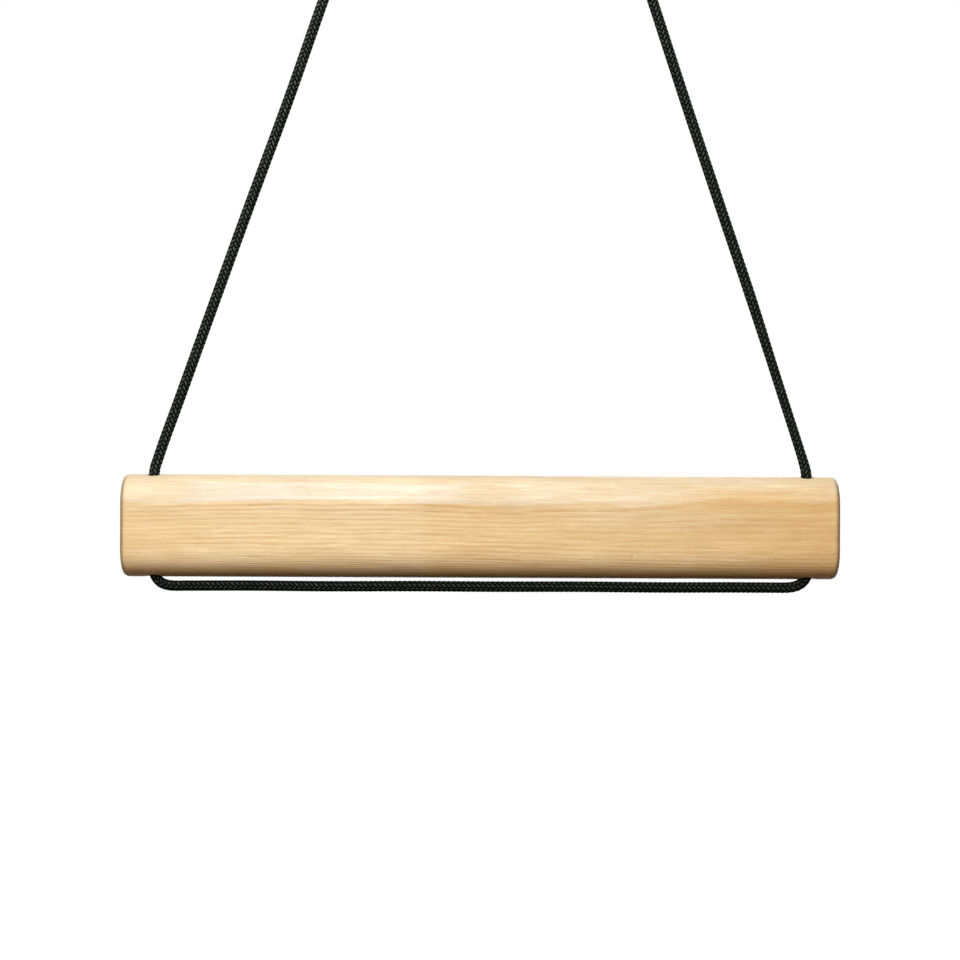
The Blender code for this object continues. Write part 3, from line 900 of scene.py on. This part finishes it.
def makeAsh():
    look = ash
    material, tree, shader = newMaterial("ashWood")
    place = coordinates(tree)
    x, y, z = splitUp(tree, place)
    alongBar = calc(tree, "MULTIPLY_ADD", x, 1.0 / (barHigh.x - barLow.x), 0.5)

    def noise(name):
        along, across, *rest = look["noises"][name]
        return stretchedNoise(tree, place, (along, across, across), *rest)

    def swing(name):
        # A noise that swings to both sides of nothing
        return multiply(tree, calc(tree, "SUBTRACT", noise(name), 0.5), look["swings"][name])

    def curve(name):
        return handCurve(tree, alongBar, look[name])

    def step(name, value):
        return ramp(tree, value, *look["steps"][name])

    # How far out from the pith the wood grew, from the ring that touches the surface
    slant = math.radians(look["slantDegrees"])
    radius = barShape["edgeRadius"]
    touchY = barLow.y + radius * (1 - math.cos(slant))
    touchZ = barHigh.z - radius * (1 - math.sin(slant))
    fromPithY = calc(tree, "SUBTRACT", y, touchY + math.cos(slant) * look["pithDistance"])
    fromPithZ = calc(tree, "SUBTRACT", z, touchZ - math.sin(slant) * look["pithDistance"])
    squares = calc(tree, "MULTIPLY_ADD", fromPithY, fromPithY, multiply(tree, fromPithZ, fromPithZ))
    grown = calc(tree, "SUBTRACT", calc(tree, "SQRT", squares), look["pithDistance"])
    edge = multiply(tree, curve("patchEdge"), look["edgeDepth"])
    swell = multiply(tree, calc(tree, "SUBTRACT", edge, look["edgeMean"]), step("swell", grown))
    level = add(tree, grown, swell, swing("sway"), swing("quiver"), look["edgeMean"])

    # Rings, each with a line of early wood
    number = calc(tree, "MULTIPLY_ADD", level, 1.0 / look["ringWidth"], look["firstRing"])
    ring = calc(tree, "MULTIPLY_ADD", number, curve("crowding"), swing("uneven"))
    share = calc(tree, "FRACT", ring)
    ringLine = multiply(tree, step("rise", share), step("onset", share))
    line = multiply(tree, ringLine, step("strength", randomFor(tree, calc(tree, "FLOOR", ring))))

    # The pale patch, and the paler wood over it as far as the crest
    feather = swing("feather")
    fade = multiply(tree, curve("patchFade"), look["fadeWidth"])
    fromEdge = calc(tree, "DIVIDE", add(tree, level, feather), fade)
    patch = multiply(tree, step("patch", fromEdge), curve("paleness"))
    reach = multiply(tree, curve("crestReach"), look["reachDepth"])
    reach = add(tree, reach, multiply(tree, feather, look["reachFeather"]))
    above = ramp(tree, add(tree, z, reach), 0.0, 1.0, *[touchZ + mark for mark in look["crestMarks"]])
    crest = ramp(tree, level, 0.0, curve("crestPale"), *look["crestLevels"])
    patch = between(tree, above, patch, crest)

    # The orange wood under the patch, and a faint second pale band lower down
    fromBorder = add(tree, calc(tree, "DIVIDE", fromEdge, look["borderWidth"]), look["borderBelow"])
    border = multiply(tree, calc(tree, "SUBTRACT", 1.0, above), bell(tree, fromBorder))
    leftDepth, rightDepth = look["veilDepth"]
    veilZ = calc(tree, "MULTIPLY_ADD", alongBar, leftDepth - rightDepth, barHigh.z - leftDepth)
    fromVeil = calc(tree, "SUBTRACT", add(tree, z, feather), veilZ)
    veil = multiply(tree, bell(tree, calc(tree, "DIVIDE", fromVeil, look["veilWidth"])), curve("veil"))

    # Late wood, with pale dashes
    calm = step("calm", patch)
    dash = multiply(tree, step("paleDash", noise("paleDash")), look["dashShare"], calm)
    wood = mixed(tree, calc(tree, "MAXIMUM", patch, veil), look["late"], look["pale"])
    wood = mixed(tree, dash, wood, look["dash"])
    wood = mixed(tree, multiply(tree, border, curve("borderTone")), wood, look["border"])

    # Broken lines of early wood, strong near the underside and faint at the upper right
    fromUnder = ramp(tree, z, 0.0, 1.0, barLow.z, barLow.z + look["lowReach"], False)
    upper = ramp(tree, z, 0.0, 1.0, *[touchZ + mark for mark in look["plainMarks"]])
    plain = multiply(tree, upper, step("plainRight", alongBar))
    lineHere = multiply(
        tree, line, step("broken", noise("broken")), step("linesInPatch", patch),
        curve("lineShare"), step("lowLines", fromUnder), between(tree, plain, 1.0, look["quiet"]),
    )
    wood = mixed(tree, lineHere, wood, look["early"])
    # the wood's own warmth, with painted shade darkening the right end
    toneAndShade = multiply(tree, curve("toneAndShade"), between(tree, patch, 1.0, look["toneInPatch"]))
    wood = mixed(tree, 1.0, wood, mixed(tree, toneAndShade, look["cool"], look["warm"]), "MULTIPLY")

    def spot(centre, strength):
        away = tree.nodes.new("ShaderNodeVectorMath")
        away.operation = "DISTANCE"
        feed(tree, place, away.inputs[0])
        away.inputs[1].default_value = centre
        size = look["knotRadius"]
        return ramp(tree, away.outputs["Value"], strength, 0.0, look["knotCore"] * size, size)

    wood = mixed(tree, spot(look["knotPlace"], look["knotStrength"]), wood, look["knotColour"])
    wood = mixed(tree, spot(look["fleckPlace"], look["fleckStrength"]), wood, look["dash"])

    # End grain: its own colour on the flat ends, partly painted shade on the rounded ones
    endGrainAndShade = attribute(tree, "endGrainAndShade")
    cap = mixed(tree, ringLine, look["cap"], look["capRing"])
    endTintAndShade = mixed(tree, step("cap", endGrainAndShade), look["edge"], cap)
    endWood = mixed(tree, 1.0, wood, endTintAndShade, "MULTIPLY")
    wood = mixed(tree, step("end", endGrainAndShade), wood, endWood)

    # Light and dark: fibres, bands, clouds, flecks, pores, and painted light and shade along the lower edge
    fibre = noise("fibre")
    pore = step("pore", noise("pore"))
    poreShare = calc(tree, "MULTIPLY_ADD", line, look["poreInLines"], look["poreElsewhere"])
    streaks = multiply(tree, step("fibre", fibre), step("band", noise("band")))
    # painted shade at the bottom rows and a band of painted light above them, standing in for the lower
    # round's shading
    lowEdgePaintedShade = handCurve(tree, fromUnder, look["lowEdgePaintedShade"])
    light = multiply(
        tree, between(tree, calm, 1.0, streaks), step("poreDark", multiply(tree, pore, poreShare)),
        step("cloud", noise("cloud")), step("fleck", noise("fleck")),
        between(tree, lowEdgePaintedShade, *look["lowRange"]),
    )
    shading = tree.nodes.new("ShaderNodeCombineColor")
    for power, socket in zip(look["shadePowers"], shading.inputs):
        feed(tree, calc(tree, "POWER", light, power), socket)
    wood = mixed(tree, 1.0, wood, shading.outputs[0], "MULTIPLY")
    feed(tree, wood, shader.inputs["Base Color"])

    rough = calc(tree, "MULTIPLY_ADD", line, look["roughInLines"], fibre)
    feed(tree, step("roughness", rough), shader.inputs["Roughness"])
    shader.inputs["Specular IOR Level"].default_value = look["specular"]
    relief = add(tree, multiply(tree, fibre, look["fibreRelief"]), multiply(tree, pore, -look["poreRelief"]))
    addBump(tree, shader, relief, look)
    return material


# Black braid: near-black, with painted shade in the grooves between the strands and a painted grey-green
# highlight along each stroke
blackCord = {
    "grooveShade": (0.0004, 0.0016, 0.0007),
    "strand": (0.0012, 0.0036, 0.0019),
    # the painted highlight along each stroke's crown
    "crown": (0.140, 0.168, 0.156),
    "melted": (0.006, 0.006, 0.006),
    "underBarShade": 0.47,  # painted shade: how bright the strokes are under the bar
    "crestShade": 0.80,  # and at its top; it is 1 far above the bar
    "rightLegShade": 0.78,  # and on the leg away from the key light
    "underReach": 3.0 * mm,
    "threads": (9.0, 0.8, 3.7),  # across a strand, along it, and from one strand to the next
    "otherIds": 57.0,  # keeps the other way's strands apart
    "steps": {  # as in ash
        "high": (0.0, 1.0, 0.72, 0.98),
        "over": (0.0, 1.0, 0.10, 0.85),
        "threads": (0.35, 1.0, 0.3, 0.62),
        "strands": (0.55, 1.0, 0.0, 1.0, False),
        "floor": (0.0, 1.0, 0.3, 0.9),
    },
    "rightWards": 80.0 * mm,  # from the middle to where rightLegShade holds
    "roughness": 0.4,
    "threadRoughness": 0.2,
    "meltedRoughness": 0.28,
    "specular": 0.0,
    "bump": 0.35,
    "bumpHeight": 0.06 * mm,
}


def makeBlackCord():
    look = blackCord
    material, tree, shader = newMaterial("blackCord")
    uv = tree.nodes.new("ShaderNodeUVMap")
    uv.uv_map = "braid"
    turns, strokes = splitUp(tree, uv.outputs[0])[:2]
    turns = multiply(tree, turns, float(braid["strands"]))
    one = add(tree, turns, strokes)
    other = calc(tree, "SUBTRACT", turns, strokes)
    oneId, otherId = calc(tree, "FLOOR", one), calc(tree, "FLOOR", other)
    oneAcross, otherAcross = calc(tree, "FRACT", one), calc(tree, "FRACT", other)

    def step(name, value):
        return ramp(tree, value, *look["steps"][name])

    def strand(across, along, over):
        # How round and how high the strand is here, as in braidHeight
        centred = calc(tree, "MULTIPLY_ADD", across, 2.0, -1.0)
        inside = calc(tree, "MULTIPLY_ADD", multiply(tree, centred, centred), -braid["edgeDrop"], 1.0)
        crown = calc(tree, "SQRT", calc(tree, "MAXIMUM", inside, 0.0))
        wave = calc(tree, "COSINE", multiply(tree, calc(tree, "SUBTRACT", along, over), math.pi / 2))
        height = calc(tree, "MULTIPLY_ADD", crown, braid["crown"], multiply(tree, wave, braid["lift"]))
        return height, crown, wave

    oneOver, otherOver = braid["overAt"]
    oneHeight, oneCrown, oneWave = strand(oneAcross, add(tree, other, oneId), oneOver)
    otherHeight, otherCrown, otherWave = strand(otherAcross, add(tree, one, otherId), otherOver)
    oneOnTop = calc(tree, "GREATER_THAN", oneHeight, otherHeight)

    def pick(first, second):
        return between(tree, oneOnTop, second, first)

    crown = pick(oneCrown, otherCrown)
    strandId = pick(oneId, add(tree, otherId, look["otherIds"]))
    thread = tree.nodes.new("ShaderNodeCombineXYZ")
    for value, socket in zip((pick(oneAcross, otherAcross), pick(other, one), strandId), thread.inputs):
        feed(tree, value, socket)
    threads = stretchedNoise(tree, thread.outputs[0], look["threads"])

    # Each stroke's painted highlight, dimmed with painted shade under the bar and on the right leg
    lit = multiply(
        tree, step("high", crown), step("over", pick(oneWave, otherWave)), step("threads", threads),
        step("strands", randomFor(tree, strandId)),
    )
    place = splitUp(tree, coordinates(tree))
    x, z = place[0], place[2]
    crestShade = look["crestShade"]
    lowShare = ramp(tree, z, look["underBarShade"], crestShade, undersideZ - look["underReach"], crestZ)
    highShare = ramp(tree, z, 0.0, 1.0 - crestShade, crestZ, 0.0, False)
    onLeg = ramp(tree, z, 0.0, 1.0, undersideZ, crestZ)
    sideShare = ramp(tree, x, 1.0, look["rightLegShade"], 0.0, look["rightWards"])
    # painted shade where the bar shades the cord, near its top, and on the leg away from the key light
    paintedStrokeShade = multiply(tree, add(tree, lowShare, highShare), between(tree, onLeg, 1.0, sideShare))
    # painted shade: where a strand falls away into the grooves it is darker than on its crown
    floor = mixed(tree, step("floor", crown), look["grooveShade"], look["strand"])
    # the painted highlight laid over the strands' colour
    colour = mixed(tree, multiply(tree, lit, paintedStrokeShade), floor, look["crown"])
    melted = attribute(tree, "melted")
    feed(tree, mixed(tree, melted, colour, look["melted"]), shader.inputs["Base Color"])

    rough = calc(tree, "MULTIPLY_ADD", threads, look["threadRoughness"], look["roughness"])
    feed(tree, between(tree, melted, rough, look["meltedRoughness"]), shader.inputs["Roughness"])
    shader.inputs["Specular IOR Level"].default_value = look["specular"]
    addBump(tree, shader, multiply(tree, threads, calc(tree, "SUBTRACT", 1.0, melted)), look)
    return material


ashWood = makeAsh()
hangBar.data.materials.append(ashWood)
cordBlack = makeBlackCord()
for piece in cordPieces:
    piece.data.materials.append(cordBlack)
print("materials made")


# A pale studio: a key light above the camera, a low warm fill at its left, and one behind
studio = {
    "floorHeight": -0.95,
    "floorSize": 14.0,
    "floorUnseen": (0.020, 0.0135, 0.008),  # what the floor sends back up to the object
    "floorSeen": (0.75, 0.75, 0.75),
    "floorRoughness": 0.9,
    "floorGlow": (0.5, 1.0, 1.0, 1.8),  # near and far, and the distances of those
    "aim": (0.0, 0.0, -0.36),
    "key": {"place": (-0.24, -1.69, 0.71), "width": 0.8, "power": 36.3, "colour": (0.975, 1.0, 0.965)},
    "fill": {"place": (-0.60, -1.80, -0.11), "width": 0.45, "power": 8.0, "colour": (1.0, 0.585, 0.295)},
    "back": {"place": (0.75, 1.85, -0.25), "width": 1.4, "power": 26.0, "colour": (1.0, 1.0, 1.0)},
    "lowAmbient": (0.014, 0.008, 0.004),
    "highAmbient": (0.36, 0.355, 0.35),
    "ambientMarks": (-0.15, 0.85),  # from slightly down to steeply up
    "white": (1.0, 1.0, 1.0),
}


def makeLight(name, place, width, power, colour):
    data = bpy.data.lights.new(name, "AREA")
    data.shape = "SQUARE"
    data.size = width
    data.energy = power
    data.color = colour
    piece = addPiece(name, data)
    piece.location = place
    aim = Vector(studio["aim"]) - Vector(place)
    piece.rotation_euler = aim.to_track_quat("-Z", "Y").to_euler()


def seenWhite(tree):
    # One for rays that see the background: straight, in gloss and through glass
    rays = tree.nodes.new("ShaderNodeLightPath")
    seen = calc(tree, "MAXIMUM", rays.outputs["Is Camera Ray"], rays.outputs["Is Glossy Ray"])
    return calc(tree, "MAXIMUM", seen, rays.outputs["Is Transmission Ray"])


def makeWorld():
    world = bpy.data.worlds.new("studioWorld")
    bpy.context.scene.world = world
    world.use_nodes = True
    tree = world.node_tree
    upwards = splitUp(tree, coordinates(tree, "Generated"))[2]
    height = ramp(tree, upwards, 0.0, 1.0, *studio["ambientMarks"])
    ambient = mixed(tree, height, studio["lowAmbient"], studio["highAmbient"])
    shown = mixed(tree, seenWhite(tree), ambient, studio["white"])
    background = tree.nodes["Background"]
    feed(tree, shown, background.inputs["Color"])
    background.inputs["Strength"].default_value = 1.0


def makeFloor():
    bm = bmesh.new()
    bmesh.ops.create_grid(bm, x_segments=1, y_segments=1, size=studio["floorSize"] / 2)
    bmesh.ops.translate(bm, vec=(0.0, 0.0, studio["floorHeight"]), verts=bm.verts)
    floor = addPiece("studioFloor", meshFrom(bm, "studioFloor"))
    material, tree, shader = newMaterial("paleFloor")
    seen = seenWhite(tree)
    shader.inputs["Roughness"].default_value = studio["floorRoughness"]
    shader.inputs["Specular IOR Level"].default_value = 0.0
    colour = mixed(tree, seen, studio["floorUnseen"], studio["floorSeen"])
    feed(tree, colour, shader.inputs["Base Color"])
    shader.inputs["Emission Color"].default_value = (*studio["white"], 1.0)
    # the lamps' light on it fades with the distance, and its own glow takes over
    away = tree.nodes.new("ShaderNodeVectorMath")
    away.operation = "LENGTH"
    feed(tree, coordinates(tree), away.inputs[0])
    glow = ramp(tree, away.outputs["Value"], *studio["floorGlow"])
    feed(tree, multiply(tree, seen, glow), shader.inputs["Emission Strength"])
    floor.data.materials.append(material)
    floor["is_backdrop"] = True


makeLight("keyLight", **studio["key"])
makeLight("fillLight", **studio["fill"])
makeLight("backLight", **studio["back"])
makeWorld()
makeFloor()
bpy.context.scene.view_settings.view_transform = "Standard"
print("studio lit")

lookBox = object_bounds()
[list(corner) for corner in (*cadBox, *lookBox)]
